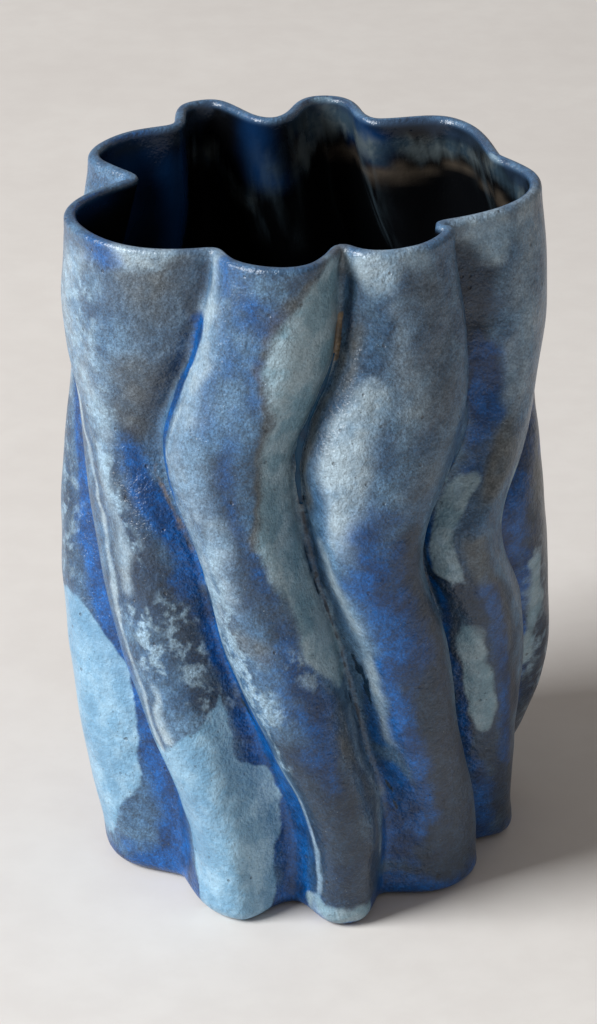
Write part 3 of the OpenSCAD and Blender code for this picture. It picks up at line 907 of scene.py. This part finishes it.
# ---------------------------------------------------------------------------------------------
# Corner coil. A soft roll of clay pressed into the inside corner between wall and floor with a
# finger, which leaves a hollow fillet. It is covered by the black lining glaze.
# ---------------------------------------------------------------------------------------------
COIL = 8.0  # reach of the fillet along the floor and up the wall
TUCK = 0.6  # how far the roll and the wall share clay
floor_row = int(np.argmin(abs(inner_z - FLOOR)))
corner = inner[floor_row]
to_axis = -corner / np.linalg.norm(corner, axis=-1, keepdims=True)


def coil_ring(reach, z):
    """A ring round the inside corner, a distance in from the wall and at a height."""
    return np.concatenate([corner + reach * to_axis, np.full((len(corner), 1), z)], -1)


sweep = np.radians(np.linspace(0, 90, 9))
coil_rings = [coil_ring(COIL * (1 - math.cos(t)), FLOOR + COIL * (1 - math.sin(t)) + 0.15) for t in sweep]
coil_rings += [coil_ring(reach, FLOOR) for reach in (COIL, COIL / 2, -TUCK)]
coil_rings += [coil_ring(-TUCK, FLOOR + COIL / 2)]
coil_rings = np.array(coil_rings + coil_rings[:1])
coil_rings = np.concatenate([coil_rings, coil_rings[:, :1]], 1)
coil = loft("corner_roll", coil_rings)
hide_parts("corner_coil")

lining, tree, shader, place = new_material("black lining glaze")
skin_of = use(tree, peel, {"Place": place, "Pinholes": 0.4})
deep = cloud(tree, place, 60.0, 3.0, 0.6)
black = blend(tree, spread(tree, deep, 0.35, 0.7), shade(8, 9, 12), shade(20, 28, 38))
black = blend(tree, times(tree, skin_of["Pinhole"], 0.5), black, shade(50, 46, 44))
tree.links.new(black, shader.inputs["Base Color"])
tree.links.new(spread(tree, skin_of["Grain"], 0.3, 0.7, 0.1, 0.2), shader.inputs["Roughness"])
dent_by(tree, shader, skin_of["Height"], 0.25, 0.0005)
coil.data.materials.append(lining)


# ---------------------------------------------------------------------------------------------
# Glaze pool. The lining glaze runs down in the firing and settles on the floor as a flat glassy
# puddle that climbs a little way up the coil.
# ---------------------------------------------------------------------------------------------
rim = corner + COIL * to_axis
# Share of the way out to the rim and height above the floor, over the top and back below
pool_profile = [(0, 1), (0.35, 1), (0.65, 1.02), (0.85, 1.06), (0.95, 1.12), (1, 1.2)]
pool_profile += [(1, 0.6), (1, 0), (0.5, 0), (0, 0)]
pool_rings = []
for share, above in pool_profile:
    pool_rings.append(np.concatenate([rim * share, np.full((len(rim), 1), FLOOR + above)], -1))
pool_rings = np.array(pool_rings)
pool_rings = np.concatenate([pool_rings, pool_rings[:, :1]], 1)
pool = loft("glaze_puddle", pool_rings)
pool.data.materials.append(lining)
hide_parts("glaze_pool")


# ---------------------------------------------------------------------------------------------
# Crease glaze, front. Glaze that ran thick into the bottom of the sharpest fold and froze there
# as a glassy dark teal bead.
# ---------------------------------------------------------------------------------------------
def crease_bead(name, fold, low, high, width, proud):
    """A rounded bead in the bottom of a fold, tapered at both ends; its width is in columns each side."""
    rows = np.nonzero((outer_z >= low) & (outer_z <= high))[0]
    middle = starts[fold]
    rings = []
    points_across = 11
    for n, row in enumerate(rows):
        taper = math.sin(math.pi * (n + 0.5) / len(rows)) ** 0.6
        swell = 1 + 0.25 * math.sin(n * 0.37) + 0.15 * math.sin(n * 0.9)
        half = max(width * taper * swell, 0.3)
        spots = middle + np.linspace(-half, half, points_across)
        base, part = np.floor(spots).astype(int), (spots % 1)[:, None]
        wall = outer[row][base] * (1 - part) + outer[row][base + 1] * part
        across = np.linspace(-1, 1, points_across)[:, None]
        chord = wall[0] * (1 - across) / 2 + wall[-1] * (1 + across) / 2
        lift = -outer_inward[row][middle] * proud * (1 - across**2) * taper
        face = (1 - across**2) * (chord * 0.8 + wall * 0.2) + across**2 * wall + lift
        under = wall[::-1][1:-1] + outer_inward[row][middle] * 0.5
        section = np.concatenate([face, under, face[:1]])
        rings.append(np.concatenate([section, np.full((len(section), 1), outer_z[row])], -1))
    return loft(name, np.array(rings))


melt, tree, shader, place = new_material("thick run glaze")
skin_of = use(tree, peel, {"Place": place, "Pinholes": 0.2})
depth = cloud(tree, place, 150.0, 3.0, 0.6)
teal = blend(tree, spread(tree, depth, 0.35, 0.65), shade(4, 54, 88), shade(12, 76, 112))
teal = blend(tree, spread(tree, skin_of["Grain"], 0.6, 0.75, 0.0, 0.3), teal, shade(90, 130, 150))
tree.links.new(teal, shader.inputs["Base Color"])
tree.links.new(spread(tree, depth, 0.3, 0.7, 0.12, 0.22), shader.inputs["Roughness"])
dent_by(tree, shader, skin_of["Height"], 0.15, 0.0005)
shader.inputs["Specular IOR Level"].default_value = 0.25

PROUD = 0.25  # mm that a bead stands out in the middle
front_bead = crease_bead("front_crease_run", 3, 147.5, 197.5, 0.75, PROUD)
front_bead.data.materials.append(melt)
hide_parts("crease_glaze_front")


# ---------------------------------------------------------------------------------------------
# Crease glaze, right. The same glassy dark teal glaze, in a shorter run down the fold that curls
# over at the lip.
# ---------------------------------------------------------------------------------------------
right_bead = crease_bead("right_crease_run", 4, 188, 218, 0.7, PROUD)
right_bead.data.materials.append(melt)
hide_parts("crease_glaze_right")


# ---------------------------------------------------------------------------------------------
# Studio. A wide, flat, pale floor, one large soft window light from the upper left, a weak warm
# light from all round, and a camera that looks down at the vase.
# ---------------------------------------------------------------------------------------------
plain_floor = bmesh.new()
bmesh.ops.create_grid(plain_floor, x_segments=40, y_segments=40, size=3.0)
studio = bpy.data.meshes.new("studio_floor")
plain_floor.to_mesh(studio)
plain_floor.free()
paper, tree, shader, place = new_material("pale limewashed board")
tone = cloud(tree, place, 3.0, 4.0, 0.6)
fine_tone = cloud(tree, place, 60.0, 4.0, 0.6)
board = blend(tree, spread(tree, tone, 0.3, 0.7), shade(214, 209, 205), shade(222, 218, 214))
board = blend(tree, spread(tree, fine_tone, 0.3, 0.7, 0.0, 0.25), board, shade(205, 199, 195))
tree.links.new(board, shader.inputs["Base Color"])
shader.inputs["Roughness"].default_value = 0.8
ground = bpy.data.objects.new("studio_floor", studio)
ground.data.materials.append(paper)
bpy.context.scene.collection.objects.link(ground)


def softbox(name, place, aim, size, power, colour):
    """A flat lamp at a place in metres, turned to its aim, with its power in watts."""
    lamp = bpy.data.lights.new(name, "AREA")
    lamp.shape = "RECTANGLE"
    lamp.size, lamp.size_y = size
    lamp.energy = power
    lamp.color = colour
    holder = bpy.data.objects.new(name, lamp)
    holder.location = place
    holder.rotation_euler = (Vector(aim) - Vector(place)).to_track_quat("-Z", "Y").to_euler()
    bpy.context.scene.collection.objects.link(holder)


softbox("window", (-2.9, -1.2, 2.3), (0, 0, 0.1), (1.8, 1.8), 228, (0.97, 0.99, 1.0))
world = bpy.data.worlds.new("room")
world.use_nodes = True
world.node_tree.nodes["Background"].inputs[0].default_value = (1.0, 0.93, 0.87, 1.0)
world.node_tree.nodes["Background"].inputs[1].default_value = 0.28
bpy.context.scene.world = world
bpy.context.scene.view_settings.view_transform = "Standard"

lens = bpy.data.cameras.new("camera")
lens.lens = 120
lens.sensor_width = 36
camera = bpy.data.objects.new("camera", lens)
camera.location = (-0.0038, -0.9806, 0.610)
LOOKS_DOWN = 26.7  # degrees
camera.rotation_euler = (math.radians(90 - LOOKS_DOWN), 0, 0)
bpy.context.scene.collection.objects.link(camera)
bpy.context.scene.camera = camera
